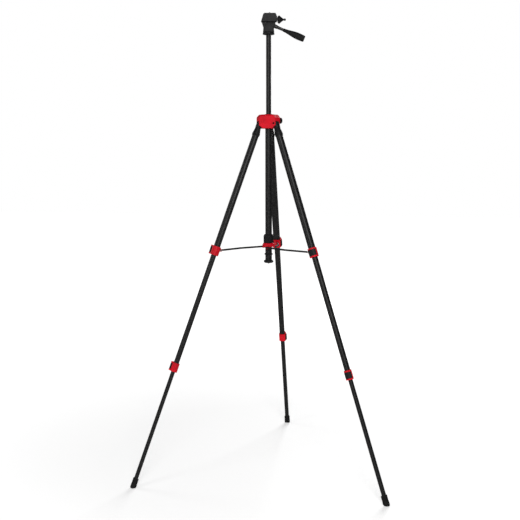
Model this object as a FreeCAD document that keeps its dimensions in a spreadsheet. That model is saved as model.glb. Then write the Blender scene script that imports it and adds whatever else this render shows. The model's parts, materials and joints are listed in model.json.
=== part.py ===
"""Tripod with a pan-and-tilt head for a laser level: a parametric model.

Row frame: millimetres, +Z up, the feet stand on Z = 0. The column stands on an axis parallel to Z that
is moved back by column_offset, so that the box around the whole tripod is centred on the origin. The rear
leg points along +Y; the left and right legs are a third of a turn from it.
"""

import FreeCAD, Part
import math
import os

import Sketcher

Vector = FreeCAD.Vector
Placement = FreeCAD.Placement
Rotation = FreeCAD.Rotation

X_AXIS = Vector(1, 0, 0)
Y_AXIS = Vector(0, 1, 0)
Z_AXIS = Vector(0, 0, 1)

# Azimuth of each leg about the column, in degrees counter-clockwise from +X.
LEGS = {"left": 210, "right": 330, "rear": 90}

# Driving dimensions, in millimetres and degrees: (alias, value, what it is).
DIMENSIONS = [
    ("column_offset", 141.75, "column axis behind the origin, along -Y"),
    ("leg_tilt", 20.565, "open leg from the vertical"),
    ("hinge_radius", 38.5, "leg hinge from the column axis"),
    ("hinge_height", 1412.5, "leg hinge above the floor"),
    ("tube_wall", 1.2, "wall of every tube"),
    ("tube_corner", 3, "outer corner radius beside the flat of a leg tube"),
    ("top_width", 28, "top leg tube, across"),
    ("top_depth", 22.5, "top leg tube, front to back"),
    ("middle_width", 23.2, "middle leg tube, across"),
    ("middle_depth", 18, "middle leg tube, front to back"),
    ("lower_width", 18.4, "lower leg tube, across"),
    ("lower_depth", 14, "lower leg tube, front to back"),
    ("cap_width", 33, "leg cap, across"),
    ("cap_depth", 28, "leg cap, front to back"),
    ("cap_start", 14, "top of the cap's sleeve, along the leg from the hinge"),
    ("cap_taper", 10.5, "slope of the cap's sleeve"),
    ("cap_lip", 46, "step of the cap's sleeve, along the leg"),
    ("cap_end", 52, "end of the cap, along the leg"),
    ("tongue_width", 24, "hinge tongue, across"),
    ("tongue_radius", 9.5, "round top of the hinge tongue"),
    ("top_start", 38, "upper end of the top tube, along the leg"),
    ("upper_lock", 527, "middle of the upper lock, along the leg"),
    ("middle_start", 465, "upper end of the middle tube, along the leg"),
    ("lower_lock", 1009, "middle of the lower lock, along the leg"),
    ("lower_start", 950, "upper end of the lower tube, along the leg"),
    ("lock_length", 36, "a lock's collar, along the leg"),
    ("lock_seat", 22, "length of outer tube inside a collar"),
    ("lock_lip", 5.5, "red lip above and below a lever"),
    ("lock_wall", 3, "collar wall on its tube"),
    ("lever_lift", 5.5, "how far a lever stands off its collar's outline"),
    ("lever_gap", 0.35, "clearance around a lever"),
    ("guide_gap", 0.25, "clearance of a tube in the collar that guides it"),
    ("foot_width", 25, "rubber foot, across"),
    ("foot_depth", 21, "rubber foot, front to back"),
    ("foot_start", 1469, "top of the foot, along the leg"),
    ("foot_end", 1512, "end of the foot before its sole is cut level"),
    ("lower_end", 1495, "lower end of the lower tube, along the leg"),
    ("arm_inset", 21.5, "spreader pivot inside the leg's axis"),
    ("arm_along", 519, "spreader pivot along the leg"),
    ("arm_hub_radius", 12, "hub pivot of a spreader from the column axis"),
    ("arm_hub_height", 924.5, "hub pivot of a spreader above the floor"),
    ("arm_side", 25.4, "inner half of a spreader beside its leg's plane"),
    ("arm_lock_side", 5, "outer end of a spreader beside its leg's plane"),
    ("arm_height", 7, "spreader strip, height"),
    ("arm_thickness", 3, "spreader strip, thickness"),
    ("pivot_radius", 2, "spreader and lever pivot pins"),
    ("running_gap", 0.07, "radial clearance of a pin in its bore"),
    ("shoulder_face", 35, "shoulder faces from the column axis"),
    ("shoulder_corner", 45, "shoulder corners from the column axis"),
    ("shoulder_base", 1393, "underside of the shoulder"),
    ("shoulder_top", 1446, "top of the shoulder"),
    ("hinge_screw_radius", 2.5, "shank of a leg hinge screw"),
    ("screw_head_radius", 3.6, "head of a leg hinge screw"),
    ("centre_radius", 13.2, "centre tube, outside radius"),
    ("centre_base", 872, "lower end of the centre tube"),
    ("centre_top", 1408, "upper end of the centre tube"),
    ("column_radius", 10, "sliding column, outside radius"),
    ("column_base", 1153, "lower end of the sliding column"),
    ("column_top", 1757, "upper end of the sliding column"),
    ("lock_knob_height", 1424, "column lock knob above the floor"),
    ("hub_radius", 22.5, "red spreader hub, radius"),
    ("hub_base", 926, "underside of the spreader hub"),
    ("hub_top", 941, "top of the spreader hub"),
    ("collar_radius", 20.5, "hub lock collar, radius"),
    ("collar_top", 976, "top of the hub lock collar"),
    ("head_yaw", 9.3, "turn of the head about the column"),
    ("tilt_height", 1775, "tilt axle above the floor"),
    ("cheek_radius", 20.5, "round top of the yoke's cheeks"),
    ("tilt_disc", 11.5, "round foot of the tilt block"),
    ("cheek_inside", 9.3, "inner face of a cheek from the middle"),
    ("cheek_outside", 14.5, "outer face of a cheek from the middle"),
    ("flip_height", 1808, "flip bolt above the floor"),
    ("plate_base", 1823.5, "underside of the camera plate's rim"),
    ("plate_top", 1828, "top of the plate under its pad"),
    ("pad_top", 1830.7, "top of the rubber pad"),
    ("plate_half", 16.5, "plate, half its depth"),
    ("stud_radius", 3.175, "instrument stud, a 1/4 inch thread"),
    ("stud_top", 1835.3, "top of the instrument stud"),
    ("handle_drop", 23, "handle below the horizontal"),
    ("handle_root_x", 20, "handle root from the column axis"),
    ("handle_root_z", 1785, "handle root above the floor"),
]

doc = FreeCAD.newDocument("LaserLevelTripod")
sheet = doc.addObject("Spreadsheet::Sheet", "Dims")
sub_parts = []


def fill_sheet():
    """Write each driving dimension into the sheet and name its cell."""
    for row, (alias, number, meaning) in enumerate(DIMENSIONS, start=1):
        sheet.set(f"A{row}", meaning)
        sheet.set(f"B{row}", str(number))
        sheet.setAlias(f"B{row}", alias)
    doc.recompute()


def value(expression):
    """The number that an expression over the sheet's cells has now."""
    return float(sheet.evalExpression(str(expression)))


# ---------------------------------------------------------------- bodies and sketches

def new_body(label):
    body = doc.addObject("PartDesign::Body", label)
    body.Label = label
    return body


def keep(part, placement):
    """Put a finished sub-part in the row frame and list it for export."""
    part.Placement = placement
    sub_parts.append(part)
    return part


def new_sketch(body, role="XY_Plane", offset="0"):
    """A sketch on one of the body's own planes, moved along that plane's normal by an expression."""
    sketch = body.newObject("Sketcher::SketchObject", body.Name + "_sketch")
    plane = next(feature for feature in body.Origin.OriginFeatures if feature.Role == role)
    sketch.AttachmentSupport = (plane, [""])
    sketch.MapMode = "FlatFace"
    if offset != "0":
        sketch.setExpression(".AttachmentOffset.Base.z", offset)
    return sketch


def constrain(sketch, kind, *arguments, size=None):
    """Add a constraint; a size is an expression that the constraint stays bound to."""
    if size is None:
        return sketch.addConstraint(Sketcher.Constraint(kind, *arguments))
    index = sketch.addConstraint(Sketcher.Constraint(kind, *arguments, value(size)))
    sketch.setExpression(f"Constraints[{index}]", str(size))
    return index


def pin_coordinate(sketch, kind, geometry, end, size):
    """Hold one coordinate of a sketch's point, DistanceX or DistanceY, at what an expression gives."""
    number = value(size)
    if abs(number) < 1e-9:
        constrain(sketch, "PointOnObject", geometry, end, -2 if kind == "DistanceX" else -1)
    elif number > 0:
        constrain(sketch, kind, -1, 1, geometry, end, size=size)
    else:
        constrain(sketch, kind, geometry, end, -1, 1, size=f"-({size})")


def pin_point(sketch, geometry, end, x, y):
    pin_coordinate(sketch, "DistanceX", geometry, end, x)
    pin_coordinate(sketch, "DistanceY", geometry, end, y)


def circle(sketch, radius, x="0", y="0"):
    centre = Vector(value(x), value(y), 0)
    index = sketch.addGeometry(Part.Circle(centre, Z_AXIS, value(radius)), False)
    constrain(sketch, "Radius", index, size=radius)
    pin_point(sketch, index, 3, x, y)


def outline(sketch, corners):
    """A closed outline. A corner is (x, y), or (x, y, radius) where an arc that bulges outward from an
    anticlockwise outline leads to the next corner; a negative radius bulges inward."""
    points = [Vector(value(corner[0]), value(corner[1]), 0) for corner in corners]
    first = None
    previous = None
    arcs = []
    for index, corner in enumerate(corners):
        start = points[index]
        end = points[(index + 1) % len(points)]
        if len(corner) == 3:
            radius = value(corner[2])
            chord = end - start
            side = Vector(-chord.y, chord.x, 0).normalize()
            reach = math.sqrt(max(radius ** 2 - (chord.Length / 2) ** 2, 0))
            towards = 1 if radius > 0 else -1
            centre = (start + end) / 2 + side * (reach * towards)
            middle = centre - side * (abs(radius) * towards)
            edge = sketch.addGeometry(Part.Arc(start, middle, end), False)
            arc = sketch.Geometry[edge]
            start_end, end_end = (1, 2) if (arc.StartPoint - start).Length < 1e-6 else (2, 1)
            arcs.append((edge, corner, corners[(index + 1) % len(points)], side, reach))
        else:
            edge = sketch.addGeometry(Part.LineSegment(start, end), False)
            start_end, end_end = 1, 2
        if previous is None:
            first = (edge, start_end)
        else:
            constrain(sketch, "Coincident", *previous, edge, start_end)
        pin_point(sketch, edge, start_end, corner[0], corner[1])
        previous = (edge, end_end)
    constrain(sketch, "Coincident", *previous, *first)
    for edge, corner, following, side, reach in arcs:
        if reach > 1e-3:
            constrain(sketch, "Radius", edge, size=f"abs({corner[2]})")
        elif abs(side.y) > abs(side.x):
            pin_coordinate(sketch, "DistanceY", edge, 3, f"(({corner[1]}) + ({following[1]})) / 2")
        else:
            pin_coordinate(sketch, "DistanceX", edge, 3, f"(({corner[0]}) + ({following[0]})) / 2")


def rectangle(sketch, x_low, x_high, y_low, y_high):
    outline(sketch, [(x_low, y_low), (x_high, y_low), (x_high, y_high), (x_low, y_high)])


def d_outline(sketch, width, depth, corner):
    """The section of a leg tube: a half circle as wide as the tube on its outer side (+X), straight sides
    and a flat inner side with rounded corners. The section's depth is centred on the origin."""
    radius = value(width) / 2
    half = value(depth) / 2
    fillet = value(corner)
    centre_x = half - radius
    flat = -half
    quarter = math.pi / 2

    def arc(x, y, size, start, stop):
        round_edge = Part.Circle(Vector(x, y, 0), Z_AXIS, size)
        return sketch.addGeometry(Part.ArcOfCircle(round_edge, start, stop), False)

    def line(x1, y1, x2, y2):
        return sketch.addGeometry(Part.LineSegment(Vector(x1, y1, 0), Vector(x2, y2, 0)), False)

    front = arc(centre_x, 0, radius, -quarter, quarter)
    left = line(centre_x, radius, flat + fillet, radius)
    left_corner = arc(flat + fillet, radius - fillet, fillet, quarter, 2 * quarter)
    back = line(flat, radius - fillet, flat, fillet - radius)
    right_corner = arc(flat + fillet, fillet - radius, fillet, 2 * quarter, 3 * quarter)
    right = line(flat + fillet, -radius, centre_x, -radius)
    ring = [front, left, left_corner, back, right_corner, right]
    for this, following in zip(ring, ring[1:] + ring[:1]):
        constrain(sketch, "Tangent", this, 2, following, 1)
    constrain(sketch, "Radius", front, size=f"({width}) / 2")
    constrain(sketch, "Radius", left_corner, size=corner)
    constrain(sketch, "Radius", right_corner, size=corner)
    pin_point(sketch, front, 3, f"({depth}) / 2 - ({width}) / 2", "0")
    constrain(sketch, "Vertical", back)
    constrain(sketch, "DistanceX", back, 1, -1, 1, size=f"({depth}) / 2")


def d_ring(sketch, width, depth, corner, wall):
    """A leg tube's section with its bore."""
    d_outline(sketch, width, depth, corner)
    d_outline(sketch, f"{width} - 2 * {wall}", f"{depth} - 2 * {wall}", f"{corner} - {wall}")


# ---------------------------------------------------------------- features

def pad(body, sketch, length, symmetric=False, reverse=False):
    feature = body.newObject("PartDesign::Pad", body.Name + "_pad")
    feature.Profile = (sketch, [""])
    feature.setExpression("Length", str(length))
    feature.SideType = "Symmetric" if symmetric else "One side"
    feature.Reversed = reverse
    doc.recompute([body], True)
    check_sketch(sketch)
    return feature


def check_sketch(sketch):
    if "Invalid" in sketch.State:
        raise RuntimeError(f"{sketch.Name} can't be solved")


def pocket(body, sketch, length, symmetric=False, reverse=False):
    """Cut a sketch out of the body, and stop if it removed nothing."""
    before = body.Shape.Volume
    feature = body.newObject("PartDesign::Pocket", body.Name + "_pocket")
    feature.Profile = (sketch, [""])
    feature.setExpression("Length", str(length))
    feature.SideType = "Symmetric" if symmetric else "One side"
    feature.Reversed = reverse
    doc.recompute([body], True)
    check_sketch(sketch)
    if body.Shape.Volume > before - 1e-3:
        raise RuntimeError(f"{feature.Name} in {body.Label} cuts nothing")
    return feature


def revolve(body, sketch):
    """Turn a sketch on the XZ plane about the body's Z axis."""
    feature = body.newObject("PartDesign::Revolution", body.Name + "_revolution")
    feature.Profile = (sketch, [""])
    feature.ReferenceAxis = (sketch, ["V_Axis"])
    feature.Angle = 360
    doc.recompute([body], True)
    check_sketch(sketch)
    return feature


def repeat_around(body, feature, count):
    """Repeat a pad or pocket evenly about the body's Z axis."""
    axis = next(item for item in body.Origin.OriginFeatures if item.Role == "Z_Axis")
    pattern = body.newObject("PartDesign::PolarPattern", body.Name + "_pattern")
    pattern.Originals = [feature]
    pattern.Axis = (axis, [""])
    pattern.Angle = 360
    pattern.Occurrences = count
    body.Tip = pattern
    doc.recompute([body], True)
    return pattern


def soften(body, kind, size, choose):
    """Fillet or chamfer the edges that choose(edge) picks."""
    base = body.Tip
    names = [f"Edge{i}" for i, edge in enumerate(base.Shape.Edges, start=1) if choose(edge)]
    if not names:
        raise RuntimeError(f"no edge to soften on {body.Label}")
    feature = body.newObject(f"PartDesign::{kind}", f"{body.Name}_{kind.lower()}")
    feature.Base = (base, names)
    feature.setExpression("Radius" if kind == "Fillet" else "Size", str(size))
    doc.recompute([body], True)
    return feature


def turned(label, corners, placement):
    """A turned piece, from half of its section: corners are (radius, height) along its own axis."""
    body = new_body(label)
    sketch = new_sketch(body, "XZ_Plane")
    outline(sketch, corners)
    revolve(body, sketch)
    return keep(body, placement)


def round_tube(label, outside, base, top, placement):
    inside = f"{outside} - Dims.tube_wall"
    return turned(label, [(inside, base), (outside, base), (outside, top), (inside, top)], placement)


def cylinder(label, radius, length, placement):
    solid = doc.addObject("Part::Cylinder", label)
    solid.Label = label
    solid.setExpression("Radius", str(radius))
    solid.setExpression("Height", str(length))
    solid.Placement = placement
    return solid


def at_height(height):
    """Chooses the edges that lie wholly at one height."""
    level = value(height)
    return lambda edge: abs(edge.BoundBox.ZMin - level) < 0.01 and abs(edge.BoundBox.ZMax - level) < 0.01


# ---------------------------------------------------------------- frames

def column_frame(turn=0.0):
    """On the column axis at floor level, turned about it."""
    return Placement(Vector(0, -value("Dims.column_offset"), 0), Rotation(Z_AXIS, turn))


def leg_frame(azimuth):
    """At the leg's hinge: +X outward from the leg, +Y across it counter-clockwise, -Z down the leg."""
    hinge = Vector(value("Dims.hinge_radius"), 0, value("Dims.hinge_height"))
    tilted = Placement(hinge, Rotation(Y_AXIS, -value("Dims.leg_tilt")))
    return column_frame(azimuth) * tilted


def head_frame():
    """As column_frame, turned with the head: +X to the handle, -Y to the side with the tilt cheek."""
    return column_frame(value("Dims.head_yaw"))


# ---------------------------------------------------------------- legs

def leg_cap(name, frame):
    """Moulded cap on the top tube: a tongue for the hinge, above a sleeve that widens to a step."""
    body = new_body(f"leg_cap_{name}")
    tongue = new_sketch(body, "XZ_Plane")
    radius = "Dims.tongue_radius"
    outline(tongue, [(f"-{radius}", "0"), (f"-{radius}", "-Dims.cap_start - 6"),
                     (radius, "-Dims.cap_start - 6"), (radius, "0", radius)])
    pad(body, tongue, "Dims.tongue_width", symmetric=True)
    outer = value(radius)
    soften(body, "Fillet", "Dims.tongue_radius - 1",
           lambda edge: abs(edge.BoundBox.XMin - outer) < 0.01 and edge.BoundBox.XLength < 0.01
           and edge.BoundBox.YLength < 0.01)
    sleeve = new_sketch(body, offset="-Dims.cap_lip")
    d_outline(sleeve, "Dims.cap_width", "Dims.cap_depth", "Dims.tube_corner + 2")
    cone = pad(body, sleeve, "Dims.cap_lip - Dims.cap_start")
    cone.setExpression("TaperAngle", "-Dims.cap_taper")
    step = new_sketch(body, offset="-Dims.cap_end")
    d_outline(step, "Dims.cap_width - 2.4", "Dims.cap_depth - 2.4", "Dims.tube_corner + 1")
    pad(body, step, "Dims.cap_end - Dims.cap_lip")
    seat = new_sketch(body, offset="-Dims.cap_end")
    d_outline(seat, "Dims.top_width", "Dims.top_depth", "Dims.tube_corner")
    pocket(body, seat, "Dims.cap_end - Dims.top_start", reverse=True)
    bore = new_sketch(body, "XZ_Plane")
    circle(bore, "Dims.hinge_screw_radius + Dims.running_gap")
    pocket(body, bore, "Dims.tongue_width + 2", symmetric=True)
    return keep(body, frame)


def leg_tube(label, width, depth, start, end, frame):
    body = new_body(label)
    section = new_sketch(body, offset=f"-{end}")
    d_ring(section, width, depth, "Dims.tube_corner", "Dims.tube_wall")
    pad(body, section, f"{end} - {start}")
    return keep(body, frame)


class Lock:
    """Sizes shared by a flip lock's collar, lever and pin, as expressions in the leg's frame."""

    def __init__(self, middle, outer_width, outer_depth, inner_width, inner_depth):
        self.top = f"({middle} - Dims.lock_length / 2)"
        self.bottom = f"({middle} + Dims.lock_length / 2)"
        self.tube = (outer_width, outer_depth)
        self.guided = (inner_width, inner_depth)
        self.width = f"({outer_width} + 2 * Dims.lock_wall)"
        self.depth = f"({outer_depth} + 2.4 * Dims.lock_wall)"
        centre = f"({self.depth} / 2 - {self.width} / 2)"
        # The lever lies around the collar's clockwise side. Its pin is 30 degrees from the leg's outer face.
        reach = f"({self.width} / 2 + 3.3)"
        self.pin = (f"({centre} + 0.866 * {reach})", f"(-0.5 * {reach})")
        self.lip = (f"({centre} + 4.4)", "(-8.3)")
        self.lip_radius = f"({self.width} / 2 - 5.2)"
        self.pin_radius = "(Dims.pivot_radius - 0.5)"
        self.knuckle = "3.6"


def lock_collar(label, lock, frame, arm_lug=False):
    """Moulded collar fixed to the end of the outer tube, with a lip above and below its lever."""
    body = new_body(label)
    length = "Dims.lock_length"
    core = new_sketch(body, offset=f"-{lock.bottom}")
    d_outline(core, lock.width, lock.depth, "Dims.tube_corner + 1.5")
    pad(body, core, length)
    soften(body, "Chamfer", 0.8, at_height(f"-{lock.bottom}"))
    for height in (f"-{lock.bottom}", f"-{lock.top} - Dims.lock_lip"):
        for centre, radius in ((lock.lip, lock.lip_radius), (lock.pin, f"{lock.knuckle} + 0.2")):
            lip = new_sketch(body, offset=height)
            circle(lip, radius, *centre)
            pad(body, lip, "Dims.lock_lip")
    if arm_lug:
        lug = new_sketch(body, "XZ_Plane")
        x, z = "-Dims.arm_inset", "-Dims.arm_along"
        outline(lug, [("-8", f"{z} - 8"), ("-8", f"{z} + 8"), (x, f"{z} + 5.5", "5.5"), (x, f"{z} - 5.5")])
        pad(body, lug, 6, symmetric=True)
        bore = new_sketch(body, "XZ_Plane")
        circle(bore, "Dims.pivot_radius + Dims.running_gap", x, z)
        pocket(body, bore, 20, symmetric=True)
    seat = new_sketch(body, offset=f"-{lock.top}")
    d_outline(seat, *lock.tube, "Dims.tube_corner")
    pocket(body, seat, "Dims.lock_seat")
    guide = new_sketch(body, offset=f"-{lock.bottom}")
    width, depth = lock.guided
    d_outline(guide, f"{width} + 2 * Dims.guide_gap", f"{depth} + 2 * Dims.guide_gap", "Dims.tube_corner")
    pocket(body, guide, length, reverse=True)
    recess = new_sketch(body, offset=f"-{lock.bottom} + Dims.lock_lip")
    circle(recess, f"{lock.knuckle} + Dims.lever_gap", *lock.pin)
    pocket(body, recess, f"{length} - 2 * Dims.lock_lip", reverse=True)
    hole = new_sketch(body, offset=f"-{lock.bottom}")
    circle(hole, lock.pin_radius, *lock.pin)
    pocket(body, hole, length, reverse=True)
    return keep(body, frame)


def lock_lever(label, lock, frame):
    """Cam lever that lies around the collar between its lips and swings out about a pin along the leg."""
    body = new_body(label)
    base = f"-{lock.bottom} + Dims.lock_lip + Dims.lever_gap"
    height = "Dims.lock_length - 2 * Dims.lock_lip - 2 * Dims.lever_gap"
    blade = new_sketch(body, offset=base)
    lift = "2 * Dims.lever_lift"
    d_outline(blade, f"{lock.width} + {lift}", f"{lock.depth} + {lift}", "Dims.tube_corner + Dims.lever_lift")
    pad(body, blade, height)
    core = new_sketch(body, offset=base)
    gap = "2 * Dims.lever_gap"
    d_outline(core, f"{lock.width} + {gap}", f"{lock.depth} + {gap}", "Dims.tube_corner + 1.5")
    pocket(body, core, height, reverse=True)
    trim = new_sketch(body, offset=base)
    side, end = f"-{lock.width} / 2", f"3.2 - {lock.depth} / 2"
    outline(trim, [("-40", "-40"), ("-3", "-40"), ("-3", f"{side} - Dims.lever_lift"), (end, f"{side} - 1.3"),
                   (end, "0"), lock.pin, ("40", lock.pin[1]), ("40", "40"), ("-40", "40")])
    pocket(body, trim, height, reverse=True)
    knuckle = new_sketch(body, offset=base)
    circle(knuckle, lock.knuckle, *lock.pin)
    pad(body, knuckle, height)
    bore = new_sketch(body, offset=base)
    circle(bore, f"{lock.pin_radius} + Dims.running_gap", *lock.pin)
    pocket(body, bore, height, reverse=True)
    return keep(body, frame)


def lock_pin(label, lock, frame):
    """Steel pin of a lever, from the collar's lower lip to its upper one."""
    place = Placement(Vector(value(lock.pin[0]), value(lock.pin[1]), -value(lock.bottom) + 0.8), Rotation())
    return cylinder(label, lock.pin_radius, "Dims.lock_length - 1.6", frame * place)


def arm_pin(label, frame):
    """Rivet through the spreader's outer end and the collar's lug, with a head at each end."""
    side = "Dims.arm_lock_side + Dims.arm_thickness / 2"
    pieces = []
    start = -value(side) - 1.6
    for suffix, radius, low, high in (
        ("shank", "Dims.pivot_radius", start, 4.6),
        ("outer_head", "Dims.pivot_radius + 1.5", start, -value(side) - 0.3),
        ("inner_head", "Dims.pivot_radius + 1.5", 3.0, 4.6),
    ):
        base = Vector(-value("Dims.arm_inset"), low, -value("Dims.arm_along"))
        place = Placement(base, Rotation(X_AXIS, -90))
        pieces.append(cylinder(f"{label}_{suffix}", radius, high - low, place))
    rivet = doc.addObject("Part::MultiFuse", label)
    rivet.Label = label
    rivet.Shapes = pieces
    rivet.Placement = frame
    return rivet


def group(label, members):
    """Fasteners that share a node, each still a solid of its own."""
    together = doc.addObject("Part::Compound", label)
    together.Label = label
    together.Links = members
    doc.recompute()
    return keep(together, Placement())


def foot(name, frame):
    """Rubber boot on the lower tube, with its sole cut level with the floor."""
    body = new_body(f"foot_{name}")
    boot = new_sketch(body, offset="-Dims.foot_end")
    d_outline(boot, "Dims.foot_width", "Dims.foot_depth", "Dims.tube_corner + 1")
    pad(body, boot, "Dims.foot_end - Dims.foot_start")
    soften(body, "Fillet", 1.5, at_height("-Dims.foot_start"))
    seat = new_sketch(body, offset="-Dims.lower_end")
    d_outline(seat, "Dims.lower_width", "Dims.lower_depth", "Dims.tube_corner")
    pocket(body, seat, "Dims.lower_end - Dims.foot_start", reverse=True)
    # The floor in the leg's plane: a line that falls outward by the leg's tilt.
    sole = new_sketch(body, "XZ_Plane")
    floor = "(-Dims.hinge_height / cos(Dims.leg_tilt))"
    slope = "tan(Dims.leg_tilt)"
    outline(sole, [("-30", f"{floor} + 30 * {slope}"), ("-30", f"{floor} - 60"),
                   ("30", f"{floor} - 60"), ("30", f"{floor} - 30 * {slope}")])
    pocket(body, sole, 60, symmetric=True)
    return keep(body, frame)


def spreader_geometry():
    """The outer pivot of a spreader from the column axis and the floor, its length and its slope."""
    tilt = math.radians(value("Dims.leg_tilt"))
    along = value("Dims.arm_along")
    inset = value("Dims.arm_inset")
    radius = value("Dims.hinge_radius") + along * math.sin(tilt) - inset * math.cos(tilt)
    height = value("Dims.hinge_height") - along * math.cos(tilt) - inset * math.sin(tilt)
    run = radius - value("Dims.arm_hub_radius")
    rise = value("Dims.arm_hub_height") - height
    return radius, height, math.hypot(run, rise), math.degrees(math.atan2(rise, run))


def spreader(name, azimuth):
    """Steel strip from a leg's upper lock to the hub. Its inner half stands beside the leg's plane, so
    that it passes the centre tube and the hub as the tripod folds."""
    radius, height, length, slope = spreader_geometry()
    body = new_body(f"spreader_arm_{name}")
    plan = new_sketch(body)
    half = "Dims.arm_thickness / 2"
    near = f"-Dims.arm_lock_side + {half}"
    far = f"-Dims.arm_side + {half}"
    corners = [("-4.5", near), ("12", near), (length / 2, far), (length + 4.5, far)]
    back = [(x, f"{y} - Dims.arm_thickness") for x, y in reversed(corners)]
    outline(plan, corners + back)
    pad(body, plan, "Dims.arm_height", symmetric=True)
    ends = [-4.5, length + 4.5]
    soften(body, "Fillet", "Dims.arm_height / 2 - 0.2",
           lambda edge: any(abs(edge.BoundBox.XMin - x) < 0.01 and abs(edge.BoundBox.XMax - x) < 0.01
                            for x in ends) and edge.BoundBox.YLength > 1)
    bore = new_sketch(body, "XZ_Plane")
    circle(bore, "Dims.pivot_radius + Dims.running_gap")
    pocket(body, bore, 40, symmetric=True)
    rivet = new_sketch(body, "XZ_Plane", offset=f"Dims.arm_side + {half}")
    circle(rivet, "Dims.arm_height / 2 - 0.4", length, "0")
    pad(body, rivet, 1.4)
    pivot = Placement(Vector(radius, 0, height), Rotation(Y_AXIS, 180 + slope))
    return keep(body, column_frame(azimuth) * pivot)


def build_leg(name, azimuth):
    frame = leg_frame(azimuth)
    upper = Lock("Dims.upper_lock", "Dims.top_width", "Dims.top_depth", "Dims.middle_width",
                 "Dims.middle_depth")
    lower = Lock("Dims.lower_lock", "Dims.middle_width", "Dims.middle_depth", "Dims.lower_width",
                 "Dims.lower_depth")
    leg_cap(name, frame)
    leg_tube(f"top_tube_{name}", "Dims.top_width", "Dims.top_depth", "Dims.top_start",
             f"({upper.top} + Dims.lock_seat)", frame)
    lock_collar(f"upper_collar_{name}", upper, frame, arm_lug=True)
    lock_lever(f"upper_lever_{name}", upper, frame)
    pins = [lock_pin(f"upper_lever_pin_{name}", upper, frame), arm_pin(f"arm_pin_{name}", frame)]
    group(f"upper_pins_{name}", pins)
    leg_tube(f"middle_tube_{name}", "Dims.middle_width", "Dims.middle_depth", "Dims.middle_start",
             f"({lower.top} + Dims.lock_seat)", frame)
    lock_collar(f"lower_collar_{name}", lower, frame)
    lock_lever(f"lower_lever_{name}", lower, frame)
    sub_parts.append(lock_pin(f"lower_lever_pin_{name}", lower, frame))
    leg_tube(f"lower_tube_{name}", "Dims.lower_width", "Dims.lower_depth", "Dims.lower_start",
             "Dims.lower_end", frame)
    foot(name, frame)
    spreader(name, azimuth)


# ---------------------------------------------------------------- shoulder and column

def shoulder(frame):
    """Moulded shoulder: three faces with a slot for a leg between each two. In its own frame the left leg
    is along +X and the face with the column lock is on the -X side."""
    body = new_body("shoulder")
    plan = new_sketch(body, offset="Dims.shoulder_base")
    half = "((Dims.shoulder_face - Dims.shoulder_corner * cos(60)) / sin(60))"
    corners = []
    for turn in (0, 120, 240):
        for side in (f"(-{half})", half):
            x = f"Dims.shoulder_corner * cos({turn}) - {side} * sin({turn})"
            y = f"Dims.shoulder_corner * sin({turn}) + {side} * cos({turn})"
            corners.append((x, y))
    outline(plan, corners)
    pad(body, plan, "Dims.shoulder_top - Dims.shoulder_base")

    def cut_around(corners, width):
        sketch = new_sketch(body, "XZ_Plane")
        outline(sketch, corners)
        repeat_around(body, pocket(body, sketch, width, symmetric=True), 3)

    base, top = "Dims.shoulder_base", "Dims.shoulder_top"
    corner, face = "Dims.shoulder_corner", "Dims.shoulder_face"
    # Bevels over each leg, under each ear and along the top of each face.
    cut_around([(f"{corner} - 11", f"{top} + 0.5"), (f"{corner} + 1.5", f"{top} - 13"),
                (f"{corner} + 9", f"{top} - 13"), (f"{corner} + 9", f"{top} + 9")], 90)
    cut_around([(f"{corner} - 13", f"{base} - 1"), (f"{corner} + 2", f"{base} - 1"),
                (f"{corner} + 2", f"{base} + 15")], 90)
    cut_around([(f"-{face} + 6", f"{top} + 1"), (f"-{face} - 9", f"{top} + 1"),
                (f"-{face} - 9", f"{top} - 6"), (f"-{face} - 0.5", f"{top} - 6")], 90)
    # Leg slot, round over the tongue.
    hinge_x, hinge_z = "Dims.hinge_radius", "Dims.hinge_height"
    clear = "(Dims.tongue_radius + 0.4)"
    cut_around([("27", f"{base} - 3"), ("60", f"{base} - 3"), ("60", hinge_z),
                (f"{hinge_x} + {clear}", hinge_z, clear), (f"{hinge_x} - {clear}", hinge_z), ("27", hinge_z)],
               "Dims.tongue_width + 0.6")
    # Hinge screw: a bore that stops inside the far ear, and a head recess that opens on the near face.
    bore = new_sketch(body, "XZ_Plane", offset="-16.5")
    circle(bore, "Dims.hinge_screw_radius", hinge_x, hinge_z)
    repeat_around(body, pocket(body, bore, 60, reverse=True), 3)
    recess = new_sketch(body, "XZ_Plane", offset="14.6")
    circle(recess, "Dims.screw_head_radius + 0.15", hinge_x, hinge_z)
    repeat_around(body, pocket(body, recess, 40, reverse=True), 3)
    # Seats of the centre tube and of the column bushing, and the lock screw's bore.
    socket = new_sketch(body, offset=base)
    circle(socket, "Dims.centre_radius")
    pocket(body, socket, f"Dims.centre_top - {base}", reverse=True)
    bushing_seat = new_sketch(body, offset="Dims.centre_top")
    circle(bushing_seat, "Dims.centre_radius + 1.3")
    pocket(body, bushing_seat, 60, reverse=True)
    screw = new_sketch(body, "YZ_Plane")
    circle(screw, "4 + Dims.running_gap", "0", "Dims.lock_knob_height")
    pocket(body, screw, 60)
    soften(body, "Fillet", 1.2, at_height(top))
    return keep(body, frame)


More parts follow.
